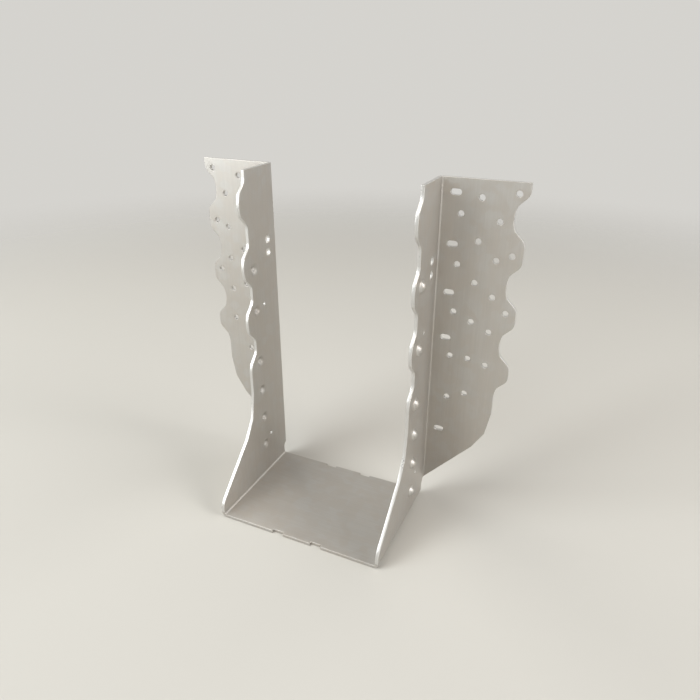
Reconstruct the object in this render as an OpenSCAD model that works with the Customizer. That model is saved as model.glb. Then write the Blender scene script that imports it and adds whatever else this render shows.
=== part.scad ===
// Face-mount joist hanger, folded from one sheet of galvanised steel.
// Frame: +Z up with the seat's underside on z = 0, X across the pocket, +Y towards the header.
// The origin is under the middle of the overall box, so the header face is half the depth behind it.
// A "drop" is measured down from the top edge, and a "z" up from the seat's underside.

/* [Sheet] */
// Thickness of the sheet
sheet_t = 2.66; // [2:0.01:3]
// Inside radius of the bend between a side plate and its header flange
flange_bend_r = 1.3; // [1:0.1:1.9]
// Inside radius of the bend between the seat and a side plate
seat_bend_r = 2; // [1:0.1:3]

/* [Pocket] */
// Clear width between the side plates
pocket_w = 132.4; // [128:0.1:140]
// Overall height, from the seat's underside to the top edge
hanger_h = 266; // [262:1:300]
// Depth from the header face to the seat's front edge
seat_depth = 102; // [96:1:120]
// Gap between the header face and the seat's back edge
seat_setback = 5.9; // [5:0.1:8]

/* [Seat notches] */
// Width of a notch
notch_w = 9; // [4:0.5:12]
// Depth of a notch
notch_d = 2.1; // [1:0.1:4]
// Distance of a notch's middle from the middle of the seat
notch_x = 16.5; // [10:0.5:30]

/* [Scalloped edges] */
// Reach of a header flange, from the middle of the hanger to its outer edge
flange_reach = 128.6; // [127:0.1:135]
// Width of a side plate's narrow strip, from the header face to its front edge
plate_w = 39.3; // [38:0.1:42]
// Depth of a scallop
scallop_d = 9; // [6:0.5:9]
// Width of a scallop, half way down its sloping sides
scallop_w = 22.7; // [21:0.1:24]
// Radius of the rounded corners at a scallop's mouth
scallop_corner_r = 7; // [3:0.5:8]
// Radius of a scallop's rounded bottom
scallop_bottom_r = 22.4; // [20:0.1:26]
// Drop to the middle of the first scallop
scallop_1_drop = 24.2; // [24:0.1:26]
// Drop to the middle of the second scallop
scallop_2_drop = 72; // [68:0.1:74]
// Drop to the middle of the third scallop
scallop_3_drop = 117.2; // [115:0.1:119]
// Drop to the middle of the fourth scallop, which runs on down as a step
scallop_4_drop = 160.8; // [159:0.1:164]

/* [Lower edge of the flanges] */
// Height where a flange starts to taper
flange_taper_z = 90.5; // [86:0.5:94]
// Height of the corner at the foot of the taper
flange_shoulder_z = 71.6; // [70:0.1:74]
// Distance of that corner inside the outer edge
flange_shoulder_in = 12.5; // [10:0.1:14]
// Height of the corner where the long diagonal edge begins
flange_knee_z = 56.9; // [54:0.1:60]
// Distance of that corner inside the outer edge
flange_knee_in = 21.6; // [19:0.1:24]
// Height where the diagonal edge reaches the inner face of the side plate
flange_foot_z = 12.1; // [11:0.1:16]

/* [Front edge of the side plates] */
// Height where a side plate starts to widen
plate_taper_z = 87; // [84:0.5:90]
// Height of the corner at the foot of the taper
plate_shoulder_z = 65; // [62:0.5:68]
// Distance of that corner in front of the narrow strip
plate_shoulder_out = 12.8; // [10:0.1:14]
// Height of the corner where the long diagonal edge begins
plate_knee_z = 50.4; // [48:0.1:54]
// Distance of that corner in front of the narrow strip
plate_knee_out = 22.3; // [20:0.1:24]
// Height where the diagonal edge, drawn on, meets the line of the seat's front edge
plate_toe_z = 12.4; // [12:0.1:16]
// Radius of the rounded corner there
plate_toe_r = 12; // [6:0.5:12]

/* [Nail holes in the flanges] */
// Diameter of a round nail hole
nail_d = 4.4; // [3:0.1:5]
// Step of the hole grid, of which the pitch of every column is a whole multiple
grid_step = 3; // [2.9:0.05:3.05]
// Distance of the first column from the middle of the hanger
column_a_x = 83.7; // [83:0.1:85]
// Drop to its top hole
column_a_drop = 24; // [22:0.1:26]
// Distance of the second column from the middle of the hanger
column_b_x = 97.2; // [96:0.1:99]
// Drop to its top hole
column_b_drop = 12; // [10:0.1:14]
// Distance of the third column from the middle of the hanger
column_c_x = 110.7; // [109:0.1:112]
// Drop to its top hole
column_c_drop = 27; // [25:0.1:29]
// Distance of the fourth column, in the lobes, from the middle of the hanger
column_d_x = 121.2; // [120:0.1:122]
// Drop to its top hole
column_d_drop = 7.6; // [7:0.1:9]

/* [Slots in the flanges] */
// Length of a slot, end to end
slot_l = 7.8; // [6:0.1:8.5]
// Width of a slot
slot_w = 4.3; // [3:0.1:5]
// Distance of the slot column from the middle of the hanger
slot_x = 79.2; // [78.5:0.1:80]
// Drop to the top slot
slot_drop = 9.7; // [8:0.1:12]
// Height of the single slot near the diagonal edge
slot_low_z = 67.2; // [60:0.1:70]

/* [Holes in the side plates] */
// Diameter of the two screw holes near the top
screw_d = 6.3; // [4:0.1:8]
// Distance of the screw holes from the header face
screw_back = 13.7; // [12:0.1:16]
// Drop to the upper screw hole
screw_drop = 56.5; // [54:0.1:59]
// Distance between the two screw holes
screw_pitch = 10.2; // [9:0.1:12]
// Diameter of the two pilot holes
pilot_d = 3; // [2:0.1:4]
// Drop to the upper pilot hole
pilot_high_drop = 107.4; // [105:0.1:110]
// Distance of the upper pilot hole from the header face
pilot_high_back = 23.6; // [20:0.1:25]
// Height of the lower pilot hole
pilot_low_z = 36.4; // [34:0.1:40]
// Distance of the lower pilot hole from the header face
pilot_low_back = 26; // [22:0.1:26.5]

/* [Domes on the side plates] */
// Radius of a dome's round cap
dome_cap_r = 5; // [4:0.1:6]
// Height of a dome above the side plate
dome_h = 3.4; // [2:0.1:3.8]
// Radius of the fillet at a dome's foot
dome_foot_r = 1.6; // [1:0.1:2]
// Distance of the line of domes from the header face
dome_back = 35.1; // [33:0.1:36]
// Drop to the first dome
dome_1_drop = 71.8; // [70:0.1:74]
// Drop to the second dome
dome_2_drop = 112.7; // [111:0.1:115]
// Height of the lowest dome
dome_low_z = 27; // [25:0.1:29]
// Distance between neighbours in the lower row of domes
dome_pitch = 27.1; // [24:0.1:28]
// Height difference between a dome and its partner on the other side plate
dome_stagger = 7; // [0:0.5:8]

/* [Hidden] */
$fn = 48;

header_y = seat_depth / 2;
plate_x = pocket_w / 2;
outer_x = plate_x + sheet_t;
flange_bend_ro = flange_bend_r + sheet_t;
seat_bend_ro = seat_bend_r + sheet_t;
step_z = hanger_h - scallop_4_drop;
// How far every cutter runs past what it cuts
past = 4;

scallop_drops = [scallop_1_drop, scallop_2_drop, scallop_3_drop, scallop_4_drop];

// Each column of nail holes: distance from the middle, drop to its top hole, pitch in steps, count
nail_columns = [
    [column_a_x, column_a_drop, 12, 5],
    [column_b_x, column_b_drop, 10, 6],
    [column_c_x, column_c_drop, 9, 5],
    [column_d_x, column_d_drop, 14, 3]
];

// Heights of the slots: four on the pitch of the first column of nail holes, and a single low one
slot_heights = [
    for (i = [0:3]) hanger_h - slot_drop - i * 12 * grid_step,
    slot_low_z
];

// Each dome: its mean height, and the way its pair is staggered
domes = [
    [hanger_h - dome_1_drop, -1],
    [hanger_h - dome_2_drop, 1],
    for (i = [3:-1:0]) [dome_low_z + i * dome_pitch, 1]
];

// Holes through both side plates: distance from the header face, height, diameter
plate_holes = [
    [screw_back, hanger_h - screw_drop, screw_d],
    [screw_back, hanger_h - screw_drop - screw_pitch, screw_d],
    [pilot_high_back, hanger_h - pilot_high_drop, pilot_d],
    [pilot_low_back, pilot_low_z, pilot_d]
];

// Carries a flat shape, drawn as (distance from the header face, height), across the hanger
module across(width) {
    translate([-width / 2, header_y, 0])
        rotate([90, 0, 90])
            mirror([1, 0, 0])
                linear_extrude(width) children();
}

// Carries a flat shape, drawn as (x, height), forwards from the header face
module forwards(start, length) {
    translate([0, header_y - start, 0])
        rotate([90, 0, 0])
            linear_extrude(length) children();
}

// The same on the left and on the right
module both_sides() {
    children();
    mirror([1, 0, 0]) children();
}

// Quarter of a bend in section, round the origin, between the -x and the +y directions
module bend_quarter(inner_r, outer_r) {
    intersection() {
        difference() {
            circle(outer_r);
            circle(inner_r);
        }
        translate([-outer_r, 0]) square(outer_r);
    }
}

// Outline of one scallop: mouth on x = 0, bottom at x = scallop_d, middle on y = 0, sides at 45 degrees
module scallop() {
    corner_y = (scallop_w + scallop_d) / 2;
    tangent = scallop_corner_r * tan(22.5);
    touch = tangent * sin(45);
    centre_y = corner_y + tangent;
    end_x = scallop_d + 1;
    end_y = corner_y - end_x;
    difference() {
        polygon([
            [-past, -centre_y],
            [scallop_corner_r, -centre_y],
            [touch, touch - corner_y],
            [end_x, -end_y],
            [end_x, end_y],
            [touch, corner_y - touch],
            [scallop_corner_r, centre_y],
            [-past, centre_y]
        ]);
        for (side = [-1, 1])
            translate([scallop_corner_r, side * centre_y]) circle(scallop_corner_r);
        difference() {
            translate([scallop_d / 2, -scallop_bottom_r]) square([scallop_d, 2 * scallop_bottom_r]);
            translate([scallop_d - scallop_bottom_r, 0]) circle(scallop_bottom_r, $fn = 96);
        }
    }
}

// What is cut away outside a flange, drawn as (x, height): scallops, step, taper and long diagonal
module flange_cut() {
    for (drop = scallop_drops)
        translate([flange_reach, hanger_h - drop]) mirror([1, 0]) scallop();
    polygon([
        [flange_reach + past, step_z],
        [flange_reach - scallop_d, step_z],
        [flange_reach - scallop_d, flange_taper_z],
        [flange_reach - flange_shoulder_in, flange_shoulder_z],
        [flange_reach - flange_knee_in, flange_knee_z],
        [plate_x, flange_foot_z],
        [plate_x, -past],
        [flange_reach + past, -past]
    ]);
}

// What is cut away in front of a side plate: the same scallops stand out here as lobes
module plate_front_cut() {
    difference() {
        polygon([
            [plate_w, hanger_h + past],
            [plate_w, step_z],
            [plate_w + scallop_d, step_z],
            [plate_w + scallop_d, plate_taper_z],
            [plate_w + plate_shoulder_out, plate_shoulder_z],
            [plate_w + plate_knee_out, plate_knee_z],
            [seat_depth, plate_toe_z],
            [seat_depth + past, plate_toe_z],
            [seat_depth + past, hanger_h + past]
        ]);
        for (drop = scallop_drops)
            translate([plate_w, hanger_h - drop]) scallop();
    }
    plate_toe_cut();
}

// Rounds the corner between a side plate's diagonal edge and the seat's front edge
module plate_toe_cut() {
    slope = atan2(plate_knee_z - plate_toe_z, seat_depth - plate_w - plate_knee_out);
    centre_z = plate_toe_z + plate_toe_r * tan(slope) - plate_toe_r / cos(slope);
    reach = plate_toe_r + past;
    translate([seat_depth - plate_toe_r, centre_z])
        difference() {
            polygon([
                [0, 0],
                [reach, 0],
                [reach, reach],
                [reach * sin(slope), reach * cos(slope)]
            ]);
            circle(plate_toe_r);
        }
}

// What is cut away behind the seat, below the foot of the flange
module plate_back_cut() {
    rise = (flange_knee_z - flange_foot_z) / (flange_reach - flange_knee_in - plate_x);
    polygon([
        [-past, -past],
        [seat_setback, -past],
        [seat_setback, flange_foot_z - (seat_setback - flange_bend_ro) * rise],
        [flange_bend_ro, flange_foot_z],
        [-past, flange_foot_z]
    ]);
}

// Section of the pocket: the seat, its two bends and the side plates
module pocket_section() {
    translate([seat_bend_r - plate_x, 0]) square([pocket_w - 2 * seat_bend_r, sheet_t]);
    for (side = [0, 1])
        mirror([side, 0]) {
            translate([seat_bend_r - plate_x, seat_bend_ro])
                mirror([0, 1]) bend_quarter(seat_bend_r, seat_bend_ro);
            translate([plate_x, seat_bend_ro]) square([sheet_t, hanger_h - seat_bend_ro]);
        }
}

// Plan of the right wing: a strip of the side plate, the bend and the header flange
module wing_plan() {
    translate([plate_x, -2 * seat_setback]) square([sheet_t, 2 * seat_setback - flange_bend_ro]);
    translate([outer_x + flange_bend_r, -flange_bend_ro]) bend_quarter(flange_bend_r, flange_bend_ro);
    translate([outer_x + flange_bend_r, -sheet_t])
        square([flange_reach - outer_x - flange_bend_r, sheet_t]);
}

// Right wing with its outline cut, before its nail holes
module wing() {
    difference() {
        translate([0, header_y, seat_bend_ro])
            linear_extrude(hanger_h - seat_bend_ro) wing_plan();
        forwards(-past, past + flange_bend_ro) flange_cut();
        across(2 * flange_reach) plate_back_cut();
    }
}

// Slot lying along x, centred on the origin
module slot() {
    run = slot_l - slot_w;
    square([run, slot_w], center = true);
    for (side = [-1, 1])
        translate([side * run / 2, 0]) circle(d = slot_w);
}

// All holes of the right flange, drawn as (x, height)
module flange_holes() {
    for (column = nail_columns)
        for (i = [0:column[3] - 1])
            translate([column[0], hanger_h - column[1] - i * column[2] * grid_step])
                circle(d = nail_d);
    for (height = slot_heights)
        translate([slot_x, height]) slot();
}

// Half section of a dome over the level surface y = 0, to be turned round the y axis
module dome_section(cap_r, foot_r) {
    cap_y = dome_h - dome_cap_r;
    foot_x = sqrt(pow(dome_cap_r + dome_foot_r, 2) - pow(dome_foot_r - cap_y, 2));
    share = cap_r / (dome_cap_r + dome_foot_r);
    touch_x = foot_x * share;
    touch_y = cap_y + (dome_foot_r - cap_y) * share;
    level = dome_foot_r - foot_r;
    intersection() {
        translate([0, cap_y]) circle(cap_r);
        translate([0, level - 1]) square([cap_r, cap_r + past]);
    }
    difference() {
        polygon([
            [0, level - 1],
            [foot_x, level - 1],
            [foot_x, level],
            [touch_x, touch_y],
            [0, touch_y]
        ]);
        translate([foot_x, dome_foot_r]) circle(foot_r);
    }
}

// Carries a turned shape to the place of every dome, outwards from each side plate
module at_domes() {
    for (side = [-1, 1])
        for (dome = domes)
            translate([side * outer_x, header_y - dome_back, dome[0] - side * dome[1] * dome_stagger / 2])
                rotate([0, side * 90, 0]) children();
}

// Outside of a dome, and the hollow behind it, one sheet thickness in
module dome_bulge() {
    rotate_extrude() dome_section(dome_cap_r, dome_foot_r);
}

module dome_hollow() {
    rotate_extrude() dome_section(dome_cap_r - sheet_t, dome_foot_r + sheet_t);
}

// Square notches in the front and back edges of the seat
module seat_notches() {
    for (side = [-1, 1])
        for (edge_y = [header_y - seat_depth, header_y - seat_setback])
            translate([side * notch_x - notch_w / 2, edge_y - notch_d, -past])
                cube([notch_w, 2 * notch_d, sheet_t + 2 * past]);
}

module hanger() {
    color([0.64, 0.63, 0.6])
        difference() {
            union() {
                forwards(seat_setback, seat_depth - seat_setback) pocket_section();
                both_sides() wing();
                at_domes() dome_bulge();
            }
            across(2 * (outer_x + past)) plate_front_cut();
            across(2 * (outer_x + past))
                for (hole = plate_holes)
                    translate([hole[0], hole[1]]) circle(d = hole[2]);
            both_sides() forwards(-past, past + sheet_t + past) flange_holes();
            at_domes() dome_hollow();
            seat_notches();
        }
}

hanger();
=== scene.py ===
"""Looks of a face-mount joist hanger: its galvanised sheet, a pale studio floor, soft lamps and the camera.

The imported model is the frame. Everything here is in metres, in the frame's own axes: X across the pocket,
+Y towards the header, +Z up from the underside of the seat.
"""

import logging
import math
from dataclasses import dataclass
from enum import Enum

import bmesh
import bpy
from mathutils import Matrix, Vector

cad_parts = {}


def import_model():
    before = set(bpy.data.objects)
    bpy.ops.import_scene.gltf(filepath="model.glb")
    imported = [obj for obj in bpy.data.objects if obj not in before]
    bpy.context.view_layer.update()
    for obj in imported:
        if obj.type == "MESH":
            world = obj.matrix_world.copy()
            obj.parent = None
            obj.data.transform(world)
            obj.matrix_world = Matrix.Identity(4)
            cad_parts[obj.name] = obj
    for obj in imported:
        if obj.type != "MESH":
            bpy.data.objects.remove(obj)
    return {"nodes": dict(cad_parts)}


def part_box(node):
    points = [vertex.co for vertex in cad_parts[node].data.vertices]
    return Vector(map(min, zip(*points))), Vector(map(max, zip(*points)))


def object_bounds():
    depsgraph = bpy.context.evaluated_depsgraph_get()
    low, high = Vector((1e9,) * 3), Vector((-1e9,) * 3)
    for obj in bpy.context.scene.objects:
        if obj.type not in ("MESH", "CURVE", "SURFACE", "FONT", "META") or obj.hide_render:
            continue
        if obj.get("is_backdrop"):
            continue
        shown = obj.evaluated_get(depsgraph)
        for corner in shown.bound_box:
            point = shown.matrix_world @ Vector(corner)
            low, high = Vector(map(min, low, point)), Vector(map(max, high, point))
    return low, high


LOG = logging.getLogger("hanger")
MM = 0.001

Colour = tuple[float, float, float, float]
LampColour = tuple[float, float, float]
Span = tuple[float, float]

PLAIN: LampColour = (1.0, 1.0, 1.0)
COOL: LampColour = (0.92, 0.97, 1.0)
WARM: LampColour = (1.0, 0.97, 0.92)


class Space(Enum):
    """Kinds of socket that a shader group can have."""

    VALUE = "NodeSocketFloat"
    VECTOR = "NodeSocketVector"


@dataclass(frozen=True)
class Grain:
    """One cloudy noise of a finish.

    Attributes:
        scale: Features per metre, roughly.
        detail: Number of finer layers.
        roughness: Weight of the finer layers.
    """

    scale: float
    detail: float
    roughness: float = 0.5


@dataclass(frozen=True)
class SheetSizes:
    """Sizes of the folded sheet that the finish needs, in metres.

    Attributes:
        thickness: Thickness of the sheet.
        half_pocket: Distance from the middle of the hanger to the inner face of a side plate.
        flange_bend_r: Inside radius of the bend between a side plate and its flange.
        seat_bend_r: Inside radius of the bend between the seat and a side plate.
    """

    thickness: float = 2.66 * MM
    half_pocket: float = 66.2 * MM
    flange_bend_r: float = 1.3 * MM
    seat_bend_r: float = 2.0 * MM

    @property
    def outer_x(self) -> float:
        """Distance from the middle of the hanger to the outer face of a side plate."""
        return self.half_pocket + self.thickness


class Graph:
    """A small helper that adds and links the nodes of one node tree."""

    SPACING: int = 220

    def __init__(self, tree: bpy.types.NodeTree) -> None:
        """Keeps the tree that the nodes go into.

        Args:
            tree: Material, world or group node tree.
        """
        self.tree = tree
        self.column = 0

    def add(self, kind: str, **settings: object) -> bpy.types.Node:
        """Adds one node and sets its properties.

        Args:
            kind: Type name of the node.
            **settings: Properties of the node, by name.

        Returns:
            The new node.
        """
        node = self.tree.nodes.new(kind)
        node.location = (self.SPACING * self.column, 0)
        self.column += 1
        for name, value in settings.items():
            setattr(node, name, value)
        return node

    def feed(self, socket: bpy.types.NodeSocket, value: object) -> None:
        """Links another socket into this one, or sets its constant.

        Args:
            socket: Input socket.
            value: Output socket to link, or the constant to set.
        """
        if isinstance(value, bpy.types.NodeSocket):
            self.tree.links.new(value, socket)
        else:
            socket.default_value = value

    def math(self, operation: str, *values: object, clamp: bool = False) -> bpy.types.NodeSocket:
        """Adds a Math node.

        Args:
            operation: Name of the operation.
            *values: Sockets or numbers for its inputs, in order.
            clamp: Whether the result is kept between 0 and 1.

        Returns:
            Its output socket.
        """
        node = self.add("ShaderNodeMath", operation=operation, use_clamp=clamp)
        for socket, value in zip(node.inputs, values):
            self.feed(socket, value)
        return node.outputs[0]

    def vector(self, operation: str, *values: object) -> bpy.types.NodeSocket:
        """Adds a Vector Math node that puts out a vector.

        Args:
            operation: Name of the operation.
            *values: Sockets or vectors for its inputs, in order.

        Returns:
            Its vector output.
        """
        node = self.add("ShaderNodeVectorMath", operation=operation)
        for socket, value in zip(node.inputs, values):
            self.feed(socket, value)
        return node.outputs["Vector"]

    def split(self, vector: object) -> bpy.types.NodeOutputs:
        """Adds a Separate XYZ node and returns its outputs.

        Args:
            vector: Vector socket to take apart.

        Returns:
            The X, Y and Z outputs.
        """
        node = self.add("ShaderNodeSeparateXYZ")
        self.feed(node.inputs[0], vector)
        return node.outputs

    def ramp(self, value: bpy.types.NodeSocket, span: Span, top: float = 1.0) -> bpy.types.NodeSocket:
        """Maps a value to a step that eases in and out and is level at both ends.

        Args:
            value: Socket to map.
            span: Where the step starts and where it ends.
            top: Height of the step, which starts at 0.

        Returns:
            The mapped value's socket.
        """
        node = self.add("ShaderNodeMapRange", interpolation_type="SMOOTHSTEP", clamp=True)
        for name, item in (("Value", value), ("From Min", span[0]), ("From Max", span[1]), ("To Max", top)):
            self.feed(node.inputs[name], item)
        return node.outputs["Result"]

    def opposite(self, share: bpy.types.NodeSocket) -> bpy.types.NodeSocket:
        """Takes a share away from 1."""
        return self.math("SUBTRACT", 1.0, share)

    def mix(self, share: object, first: object, second: object) -> bpy.types.NodeSocket:
        """Mixes two colours.

        Args:
            share: How much of the second colour is used.
            first: Colour at a share of 0.
            second: Colour at a share of 1.

        Returns:
            The mixed colour's socket.
        """
        node = self.add("ShaderNodeMix", data_type="RGBA")
        # Sockets for numbers and vectors come first, so the colours go in at 6 and 7 and come out at 2.
        self.feed(node.inputs[0], share)
        self.feed(node.inputs[6], first)
        self.feed(node.inputs[7], second)
        return node.outputs[2]

    def noise(self, where: object, grain: Grain) -> bpy.types.NodeSocket:
        """Adds a three-dimensional noise texture.

        Args:
            where: Coordinates.
            grain: How coarse it is.

        Returns:
            Its value, from 0 to 1.
        """
        node = self.add("ShaderNodeTexNoise", noise_dimensions="3D", normalize=True)
        for name, item in (("Vector", where), ("Scale", grain.scale), ("Detail", grain.detail),
                           ("Roughness", grain.roughness)):
            self.feed(node.inputs[name], item)
        return node.outputs[0]


class ShaderGroup:
    """A shader node group with named inputs and outputs, built once and placed in any material."""

    def __init__(self, name: str, inputs: dict[str, Space], outputs: dict[str, Space]) -> None:
        """Makes the group's tree and its sockets.

        Args:
            name: Name of the group.
            inputs: Each input's kind, by name.
            outputs: Each output's kind, by name.
        """
        self.tree = bpy.data.node_groups.new(name, "ShaderNodeTree")
        for label, kind in inputs.items():
            self.tree.interface.new_socket(label, in_out="INPUT", socket_type=kind.value)
        for label, kind in outputs.items():
            self.tree.interface.new_socket(label, in_out="OUTPUT", socket_type=kind.value)
        self.graph = Graph(self.tree)
        self.given = self.graph.add("NodeGroupInput").outputs
        self.result = self.graph.add("NodeGroupOutput").inputs

    def give(self, label: str, value: object) -> None:
        """Feeds one of the group's outputs.

        Args:
            label: Name of the output.
            value: Socket that it passes on.
        """
        self.graph.feed(self.result[label], value)

    def place(self, graph: Graph, **values: object) -> bpy.types.NodeOutputs:
        """Places the group in a material.

        Args:
            graph: Graph of the material.
            **values: Sockets or numbers for its inputs, by name.

        Returns:
            The placed group's outputs.
        """
        node = graph.add("ShaderNodeGroup", node_tree=self.tree)
        for label, value in values.items():
            graph.feed(node.inputs[label], value)
        return node.outputs


@dataclass(frozen=True)
class ZincSpangle:
    """Soft crystal pattern of a zinc coating.

    Attributes:
        drift: Noise that keeps the crystals out of line.
        drift_share: How far that noise moves a crystal, as a share of its distance from the origin.
        softness: How far neighbouring crystals run into each other, from 0 to 1.
        rim: Share of the relief that rises from each crystal's middle to its rim.
        step: Share of the relief that differs from crystal to crystal.
    """

    drift: Grain = Grain(160.0, 2.0)
    drift_share: float = 0.02
    softness: float = 0.35
    rim: float = 0.5
    step: float = 0.4

    def build(self) -> ShaderGroup:
        """Builds the pattern.

        Returns:
            A group whose Tone is each crystal's brightness and whose Relief is its height.
        """
        group = ShaderGroup("zinc_spangle", {"Where": Space.VECTOR, "Size": Space.VALUE},
                            {"Tone": Space.VALUE, "Relief": Space.VALUE})
        graph = group.graph
        drift = graph.noise(group.given["Where"], self.drift)
        pushed = graph.vector("SCALE", group.given["Where"])
        swell = graph.math("MULTIPLY_ADD", drift, self.drift_share, 1.0 - self.drift_share / 2)
        graph.feed(pushed.node.inputs["Scale"], swell)
        crystal = graph.add("ShaderNodeTexVoronoi", feature="SMOOTH_F1")
        graph.feed(crystal.inputs["Vector"], pushed)
        graph.feed(crystal.inputs["Scale"], graph.math("DIVIDE", 1.0, group.given["Size"]))
        crystal.inputs["Smoothness"].default_value = self.softness
        tint = graph.split(crystal.outputs["Color"])
        steps = graph.math("MULTIPLY", tint["Y"], self.step)
        group.give("Tone", tint["X"])
        group.give("Relief", graph.math("MULTIPLY_ADD", crystal.outputs["Distance"], self.rim, steps))
        return group


@dataclass(frozen=True)
class RollingLines:
    """Faint lines that the rolling mill leaves along a sheet.

    Attributes:
        line: Noise of the fine lines.
        band: Noise of the broad bands.
        stretch: How fast the noise changes along the lines, as a share of how fast it changes across them.
        level: How squarely a face looks up or down where the seat's lines start, and where only they show.
    """

    line: Grain = Grain(900.0, 4.0, 0.6)
    band: Grain = Grain(90.0, 3.0)
    stretch: float = 0.035
    level: Span = (0.55, 0.85)

    def build(self) -> ShaderGroup:
        """Builds the lines.

        Returns:
            A group whose Lines and Bands run up the plates and flanges and across the seat, round 0.5.
        """
        group = ShaderGroup("rolling_lines", {"Where": Space.VECTOR, "Normal": Space.VECTOR},
                            {"Lines": Space.VALUE, "Bands": Space.VALUE})
        graph = group.graph
        level = graph.ramp(graph.math("ABSOLUTE", graph.split(group.given["Normal"])["Z"]), self.level)
        up_plates = graph.vector("MULTIPLY", group.given["Where"], (1.0, 1.0, self.stretch))
        across_seat = graph.vector("MULTIPLY", group.given["Where"], (self.stretch, 1.0, 1.0))
        for label, grain in (("Lines", self.line), ("Bands", self.band)):
            upright = graph.math("MULTIPLY", graph.noise(up_plates, grain), graph.opposite(level))
            group.give(label, graph.math("MULTIPLY_ADD", graph.noise(across_seat, grain), level, upright))
        return group


@dataclass(frozen=True)
class CutEdges:
    """Sheared edges, where bare steel shows through the thickness of the sheet.

    Attributes:
        sizes: Sizes of the folded sheet.
        slack: How far in front of the flange a place still counts as on it, in metres.
        aside: How squarely a surface faces as its sheet does where an edge starts, and where it is whole.
        upward: How squarely a surface faces up or down where an edge starts, and where it is whole.
    """

    sizes: SheetSizes
    slack: float = 0.2 * MM
    aside: Span = (0.7, 0.45)
    upward: Span = (0.45, 0.7)

    def build(self) -> ShaderGroup:
        """Builds the mask.

        Returns:
            A group whose Mask is 1 on the cut edges of the plates and flanges and in their holes, and 0 on
            the faces and bends. The seat's edges count as faces, because the coating covers them. The
            steepest ring of a dome lies between the two.
        """
        inputs = {"Where": Space.VECTOR, "Normal": Space.VECTOR, "Header": Space.VALUE}
        group = ShaderGroup("cut_edges", inputs, {"Mask": Space.VALUE})
        graph = group.graph
        place = graph.split(group.given["Where"])
        facing = [graph.math("ABSOLUTE", axis) for axis in graph.split(group.given["Normal"])[:3]]
        beside = graph.math("ABSOLUTE", place["X"])
        from_header = graph.math("SUBTRACT", group.given["Header"], place["Y"])
        # The flange is as thick as the sheet, and starts where the bend ends.
        behind = graph.math("LESS_THAN", from_header, self.sizes.thickness + self.slack)
        past_bend = graph.math("GREATER_THAN", beside, self.sizes.outer_x + self.sizes.flange_bend_r)
        on_flange = graph.math("MULTIPLY", behind, past_bend)
        flange_edge = graph.math("MULTIPLY", on_flange, graph.ramp(facing[1], self.aside))
        # A plate faces along X above the seat and its bend.
        on_seat = graph.math("LESS_THAN", place["Z"], self.sizes.thickness + self.sizes.seat_bend_r)
        plate_edge = graph.math("MULTIPLY", graph.ramp(facing[0], self.aside), graph.opposite(on_seat))
        # The bend turns from one to the other, so only what faces up or down on it is an edge.
        on_bend = graph.math("LESS_THAN", from_header, self.sizes.thickness + self.sizes.flange_bend_r)
        bend_edge = graph.math("MULTIPLY", on_bend, graph.ramp(facing[2], self.upward))
        plate_edge = graph.math("MULTIPLY", plate_edge, graph.opposite(on_bend))
        rest = graph.math("MAXIMUM", plate_edge, bend_edge)
        off_flange = graph.opposite(on_flange)
        group.give("Mask", graph.math("MULTIPLY_ADD", off_flange, rest, flange_edge, clamp=True))
        return group


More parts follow.
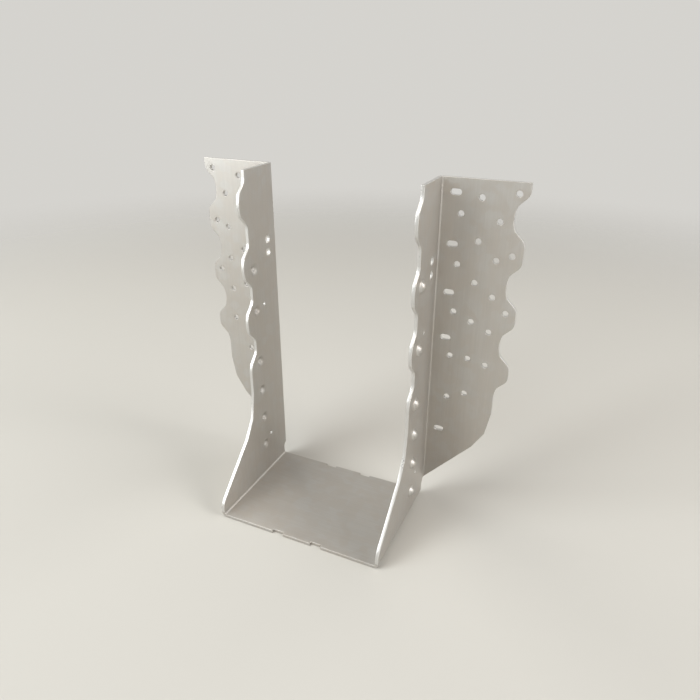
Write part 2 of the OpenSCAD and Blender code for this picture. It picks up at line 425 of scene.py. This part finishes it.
@dataclass(frozen=True)
class GalvanisedSheet:
    """Finish of the folded sheet: dull zinc with a faint spangle, and lighter steel on the cut edges,
    partly bare steel and partly painted highlight.

    Attributes:
        zinc: Colour of the coating.
        pale_zinc: Colour of its lighter patches.
        dull_zinc: Colour of the lines that the rolls leave.
        cut_steel_and_highlight: Colour of a sheared edge: bare steel, made lighter than it is so that it
            also paints in the highlights on the edges and in the holes.
        spangle: Size of a zinc crystal, in metres.
        cloud: Noise of the broad patches.
        cloud_tone: Weight of the broad patches in the tone.
        spangle_tone: Weight of the crystals in the tone.
        band_tone: Weight of the rolled bands in the tone.
        pale_from: Tones at which the lighter patches start and are whole.
        lines_from: Values of the rolled lines at which their colour starts and is strongest.
        line_share: Strongest share of the lines' colour.
        metallic: How much of the light the surface mirrors as bare metal does.
        roughness: Middle roughness of the coating.
        spangle_rough: How far the roughness differs from crystal to crystal.
        line_rough: How far it differs from line to line.
        cut_smooth: How much smoother a sheared edge is.
        line_height: Weight of the rolled lines in the relief.
        spangle_height: Weight of the crystals in the relief.
        cut_relief: Share of the relief that a sheared edge keeps.
        relief: Depth of the relief, in metres.
        relief_share: How strongly the relief turns the light.
    """

    zinc: Colour = (0.469, 0.433, 0.388, 1.0)
    pale_zinc: Colour = (0.482, 0.464, 0.433, 1.0)
    dull_zinc: Colour = (0.43, 0.405, 0.37, 1.0)
    # Bare steel, lightened so that it paints in the highlights on the sheared edges and hole walls.
    cut_steel_and_highlight: Colour = (0.6, 0.585, 0.555, 1.0)
    spangle: float = 6.5 * MM
    cloud: Grain = Grain(22.0, 4.0, 0.55)
    cloud_tone: float = 0.45
    spangle_tone: float = 0.35
    band_tone: float = 0.35
    pale_from: Span = (0.38, 0.85)
    lines_from: Span = (0.3, 0.7)
    line_share: float = 0.5
    metallic: float = 0.55
    roughness: float = 0.38
    spangle_rough: float = 0.05
    line_rough: float = 0.07
    cut_smooth: float = 0.08
    line_height: float = 0.6
    spangle_height: float = 0.3
    cut_relief: float = 0.19
    relief: float = 0.12 * MM
    relief_share: float = 0.16

    def make(self, sizes: SheetSizes, header: float) -> bpy.types.Material:
        """Builds the material.

        Args:
            sizes: Sizes of the folded sheet.
            header: Place of the header face along Y.

        Returns:
            The new material.
        """
        material = bpy.data.materials.new("galvanised_sheet_finish")
        material.use_nodes = True
        material.node_tree.nodes.clear()
        graph = Graph(material.node_tree)
        where = graph.add("ShaderNodeTexCoord").outputs["Object"]
        normal = graph.add("ShaderNodeNewGeometry").outputs["True Normal"]
        spangle = ZincSpangle().build().place(graph, Where=where, Size=self.spangle)
        rolled = RollingLines().build().place(graph, Where=where, Normal=normal)
        cut = CutEdges(sizes).build().place(graph, Where=where, Normal=normal, Header=header)["Mask"]
        shader = graph.add("ShaderNodeBsdfPrincipled")
        graph.feed(shader.inputs["Base Color"], self.tint(graph, where, spangle, rolled, cut))
        graph.feed(shader.inputs["Metallic"], self.metallic)
        graph.feed(shader.inputs["Roughness"], self.gloss(graph, spangle, rolled, cut))
        graph.feed(shader.inputs["Normal"], self.raise_relief(graph, spangle, rolled, cut))
        out = graph.add("ShaderNodeOutputMaterial")
        graph.feed(out.inputs["Surface"], shader.outputs["BSDF"])
        return material

    def tint(self, graph: Graph, where: bpy.types.NodeSocket, spangle: bpy.types.NodeOutputs,
             rolled: bpy.types.NodeOutputs, cut: bpy.types.NodeSocket) -> bpy.types.NodeSocket:
        """Mixes the colour of the surface.

        Args:
            graph: Graph of the material.
            where: Place on the hanger.
            spangle: Outputs of the crystal pattern.
            rolled: Outputs of the rolled lines.
            cut: Mask of the sheared edges.

        Returns:
            The colour's socket.
        """
        cloud = graph.math("MULTIPLY", graph.noise(where, self.cloud), self.cloud_tone)
        tone = graph.math("MULTIPLY_ADD", spangle["Tone"], self.spangle_tone, cloud)
        tone = graph.math("MULTIPLY_ADD", rolled["Bands"], self.band_tone, tone)
        coating = graph.mix(graph.ramp(tone, self.pale_from), self.zinc, self.pale_zinc)
        lines = graph.ramp(rolled["Lines"], self.lines_from, self.line_share)
        # The sheared edges, the hole walls and a narrow ring on each dome's steepest flank take the lighter
        # steel colour, which is partly a painted highlight.
        return graph.mix(cut, graph.mix(lines, coating, self.dull_zinc), self.cut_steel_and_highlight)

    def gloss(self, graph: Graph, spangle: bpy.types.NodeOutputs, rolled: bpy.types.NodeOutputs,
              cut: bpy.types.NodeSocket) -> bpy.types.NodeSocket:
        """Works out the roughness of the surface.

        Args:
            graph: Graph of the material.
            spangle: Outputs of the crystal pattern.
            rolled: Outputs of the rolled lines.
            cut: Mask of the sheared edges.

        Returns:
            The roughness's socket.
        """
        lowest = self.roughness - (self.spangle_rough + self.line_rough) / 2
        rough = graph.math("MULTIPLY_ADD", spangle["Tone"], self.spangle_rough, lowest)
        rough = graph.math("MULTIPLY_ADD", rolled["Lines"], self.line_rough, rough)
        return graph.math("MULTIPLY_ADD", cut, -self.cut_smooth, rough)

    def raise_relief(self, graph: Graph, spangle: bpy.types.NodeOutputs, rolled: bpy.types.NodeOutputs,
                     cut: bpy.types.NodeSocket) -> bpy.types.NodeSocket:
        """Raises the faint relief of the coating, which a sheared edge hardly has.

        Args:
            graph: Graph of the material.
            spangle: Outputs of the crystal pattern.
            rolled: Outputs of the rolled lines.
            cut: Mask of the sheared edges.

        Returns:
            The relief's normal.
        """
        crystals = graph.math("MULTIPLY", spangle["Relief"], self.spangle_height)
        height = graph.math("MULTIPLY_ADD", rolled["Lines"], self.line_height, crystals)
        kept = graph.math("MULTIPLY_ADD", cut, self.cut_relief - 1.0, 1.0)
        bump = graph.add("ShaderNodeBump")
        graph.feed(bump.inputs["Strength"], self.relief_share)
        graph.feed(bump.inputs["Distance"], self.relief)
        graph.feed(bump.inputs["Height"], graph.math("MULTIPLY", height, kept))
        return bump.outputs["Normal"]


@dataclass
class Hanger:
    """The folded hanger itself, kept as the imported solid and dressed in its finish.

    Attributes:
        node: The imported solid's object.
        sizes: Sizes of the folded sheet.
        finish: Finish of the sheet.
        edge_round: Radius of a sheared edge or rim, in metres.
        edge_steps: Number of facets round that radius.
        sheared_from: Angle from which an edge counts as sheared, in radians.
        weld: Distance within which corners are one, in metres.
        face_weight: How strongly the large faces set the shading, from 1 to 100.
    """

    node: bpy.types.Object
    sizes: SheetSizes = SheetSizes()
    finish: GalvanisedSheet = GalvanisedSheet()
    edge_round: float = 0.32 * MM
    edge_steps: int = 2
    sheared_from: float = math.radians(60.0)
    weld: float = 0.002 * MM
    face_weight: int = 100

    def round_edges(self) -> None:
        """Takes the sharpness off the sheared edges and the rims of the holes, as the zinc bath does."""
        join = self.node.modifiers.new("join", "WELD")
        join.merge_threshold = self.weld
        soft = self.node.modifiers.new("edge_round", "BEVEL")
        soft.limit_method = "ANGLE"
        soft.angle_limit = self.sheared_from
        soft.width = self.edge_round
        soft.segments = self.edge_steps
        soft.use_clamp_overlap = False
        soft.loop_slide = False
        shade = self.node.modifiers.new("face_shading", "WEIGHTED_NORMAL")
        shade.weight = self.face_weight
        shade.keep_sharp = False

    def dress(self) -> bpy.types.Object:
        """Rounds the solid's edges and gives it its finish.

        Returns:
            The dressed object.
        """
        self.round_edges()
        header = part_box("hanger")[1].y
        material = self.finish.make(self.sizes, header)
        for slot in self.node.material_slots:
            slot.material = material
        return self.node


@dataclass(frozen=True)
class Lamp:
    """One soft rectangular lamp.

    Attributes:
        name: Name of the lamp.
        place: Where it hangs, from the middle of the hanger, in metres.
        size: Its width and height, in metres.
        glow: Brightness of its face, in watts per square metre and steradian.
        colour: Colour of its light.
    """

    name: str
    place: tuple[float, float, float]
    size: tuple[float, float]
    glow: float
    colour: LampColour = PLAIN

    def hang(self, target: Vector) -> bpy.types.Object:
        """Hangs the lamp and turns it to the hanger.

        Args:
            target: Point that it faces.

        Returns:
            The lamp's object.
        """
        data = bpy.data.lights.new(self.name, "AREA")
        data.shape = "RECTANGLE"
        data.size, data.size_y = self.size
        data.energy = math.pi * self.size[0] * self.size[1] * self.glow
        data.color = self.colour
        lamp = bpy.data.objects.new(self.name, data)
        lamp.location = target + Vector(self.place)
        lamp.rotation_mode = "QUATERNION"
        lamp.rotation_quaternion = Vector(self.place).to_track_quat("Z", "Y")
        bpy.context.scene.collection.objects.link(lamp)
        return lamp


@dataclass
class Studio:
    """The pale floor, the soft lamps and the surrounding light.

    Attributes:
        floor_radius: Radius of the floor, in metres.
        floor_sides: Number of sides of the floor's rim.
        floor_colour: Colour of the floor.
        floor_fade: Distances from its middle at which the floor starts to fade out and is gone, in metres.
        backdrop: Colour of what lies behind the floor.
        mirrored: Share of the backdrop's brightness that the metal mirrors.
        ambient: Strength of the surrounding light.
        ambient_colour: Colour of the surrounding light.
        lamps: The soft lamps.
    """

    floor_radius: float = 6.0
    floor_sides: int = 96
    floor_colour: Colour = (0.635, 0.61, 0.56, 1.0)
    floor_fade: Span = (0.55, 1.4)
    backdrop: Colour = (0.665, 0.652, 0.62, 1.0)
    mirrored: float = 0.84
    ambient: float = 0.04
    ambient_colour: Colour = (1.0, 1.0, 1.0, 1.0)
    lamps: tuple[Lamp, ...] = (
        Lamp("key_lamp", (-1.5, -1.25, 0.2), (1.8, 0.8), 3.5, COOL),
        Lamp("key_high_lamp", (-1.2, -1.2, 1.1), (1.2, 1.0), 7.0, COOL),
        Lamp("right_front_lamp", (0.75, -1.5, 0.15), (0.8, 0.8), 3.0),
        Lamp("right_lamp", (1.6, 0.0, 0.4), (1.2, 1.0), 3.0),
        Lamp("right_high_lamp", (1.5, 0.1, 0.95), (0.6, 0.6), 7.0),
        Lamp("back_right_lamp", (0.75, 0.95, 1.05), (0.9, 0.9), 2.0),
        Lamp("back_left_lamp", (-1.2, 0.55, 1.15), (0.9, 0.9), 2.0, WARM),
        Lamp("top_lamp", (-0.4, -0.3, 1.5), (1.2, 0.8), 3.0, WARM),
    )

    def lay_floor(self) -> bpy.types.Object:
        """Lays the floor, a disc that fades out into the backdrop.

        Returns:
            The floor's object.
        """
        mesh = bpy.data.meshes.new("floor")
        form = bmesh.new()
        bmesh.ops.create_circle(form, cap_ends=True, segments=self.floor_sides, radius=self.floor_radius)
        form.to_mesh(mesh)
        form.free()
        floor = bpy.data.objects.new("floor", mesh)
        bpy.context.scene.collection.objects.link(floor)
        mesh.materials.append(self.floor_finish())
        floor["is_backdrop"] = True
        return floor

    def floor_finish(self) -> bpy.types.Material:
        """Builds the floor's matt paper, which fades out with the distance from its middle.

        Returns:
            The new material.
        """
        material = bpy.data.materials.new("studio_paper")
        material.use_nodes = True
        material.node_tree.nodes.clear()
        graph = Graph(material.node_tree)
        where = graph.add("ShaderNodeTexCoord").outputs["Object"]
        far = graph.add("ShaderNodeVectorMath", operation="LENGTH")
        graph.feed(far.inputs[0], where)
        paper = graph.add("ShaderNodeBsdfDiffuse")
        paper.inputs["Color"].default_value = self.floor_colour
        clear = graph.add("ShaderNodeBsdfTransparent")
        blend = graph.add("ShaderNodeMixShader")
        graph.feed(blend.inputs[0], graph.ramp(far.outputs["Value"], self.floor_fade))
        graph.feed(blend.inputs[1], paper.outputs[0])
        graph.feed(blend.inputs[2], clear.outputs[0])
        out = graph.add("ShaderNodeOutputMaterial")
        graph.feed(out.inputs["Surface"], blend.outputs[0])
        return material

    def light_round(self) -> None:
        """Sets the light from all round, and the pale backdrop that the camera and the metal see."""
        world = bpy.data.worlds.new("studio_world")
        bpy.context.scene.world = world
        world.use_nodes = True
        world.node_tree.nodes.clear()
        graph = Graph(world.node_tree)
        path = graph.add("ShaderNodeLightPath").outputs
        seen = graph.math("MAXIMUM", path["Is Camera Ray"], path["Is Transmission Ray"])
        seen = graph.math("MAXIMUM", seen, path["Is Glossy Ray"])
        soft = graph.add("ShaderNodeBackground")
        soft.inputs["Color"].default_value = self.ambient_colour
        soft.inputs["Strength"].default_value = self.ambient
        plain = graph.add("ShaderNodeBackground")
        plain.inputs["Color"].default_value = self.backdrop
        shown = graph.math("MULTIPLY_ADD", path["Is Glossy Ray"], self.mirrored - 1.0, 1.0)
        graph.feed(plain.inputs["Strength"], shown)
        blend = graph.add("ShaderNodeMixShader")
        graph.feed(blend.inputs[0], seen)
        graph.feed(blend.inputs[1], soft.outputs[0])
        graph.feed(blend.inputs[2], plain.outputs[0])
        out = graph.add("ShaderNodeOutputWorld")
        graph.feed(out.inputs["Surface"], blend.outputs[0])

    def hang_lamps(self, target: Vector) -> None:
        """Hangs every lamp round the hanger.

        Args:
            target: Point that they face.
        """
        for lamp in self.lamps:
            lamp.hang(target)


@dataclass(frozen=True)
class Viewpoint:
    """The camera's place, given by the point that it looks at and the way it looks.

    Attributes:
        azimuth: How far round to the right of the front it stands, in degrees.
        elevation: How far above the level it stands, in degrees.
        distance: Distance from the point that it looks at, in metres.
        off_header: Distance of that point in front of the header face, in metres.
        height: Height of that point, in metres.
        field: Angle of view, in degrees.
        sensor: Width of the camera's sensor, in millimetres.
        nearest: Distance from which the camera sees, in metres.
    """

    azimuth: float = 24.933
    elevation: float = 25.928
    distance: float = 0.4986
    off_header: float = 0.0025
    height: float = 0.1212
    field: float = 60.0
    sensor: float = 36.0
    nearest: float = 0.01

    def set_up(self, header: float) -> bpy.types.Object:
        """Makes the scene's camera.

        Args:
            header: Place of the header face along Y.

        Returns:
            The camera's object.
        """
        turn, rise = math.radians(self.azimuth), math.radians(self.elevation)
        level = math.cos(rise)
        back = Vector((math.sin(turn) * level, -math.cos(turn) * level, math.sin(rise)))
        data = bpy.data.cameras.new("studio_camera")
        data.sensor_width = self.sensor
        data.lens = self.sensor / 2 / math.tan(math.radians(self.field) / 2)
        data.clip_start = self.nearest
        camera = bpy.data.objects.new("studio_camera", data)
        camera.location = Vector((0.0, header - self.off_header, self.height)) + back * self.distance
        camera.rotation_mode = "QUATERNION"
        camera.rotation_quaternion = (-back).to_track_quat("-Z", "Y")
        bpy.context.scene.collection.objects.link(camera)
        bpy.context.scene.camera = camera
        return camera


def main() -> None:
    """Loads the frame, dresses the hanger and sets up the studio round it."""
    logging.basicConfig(level=logging.INFO, format="%(name)s: %(message)s")
    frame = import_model()
    frame_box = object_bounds()
    header = frame_box[1].y
    Viewpoint().set_up(header)
    hanger = Hanger(frame["nodes"]["hanger"])
    dressed = hanger.dress()
    LOG.info("%s: %d faces in %s", dressed.name, len(dressed.data.polygons), dressed.active_material.name)
    studio = Studio()
    studio.lay_floor()
    studio.light_round()
    studio.hang_lamps((frame_box[0] + frame_box[1]) / 2)
    bpy.context.scene.view_settings.view_transform = "Standard"


if __name__ == "__main__":
    main()
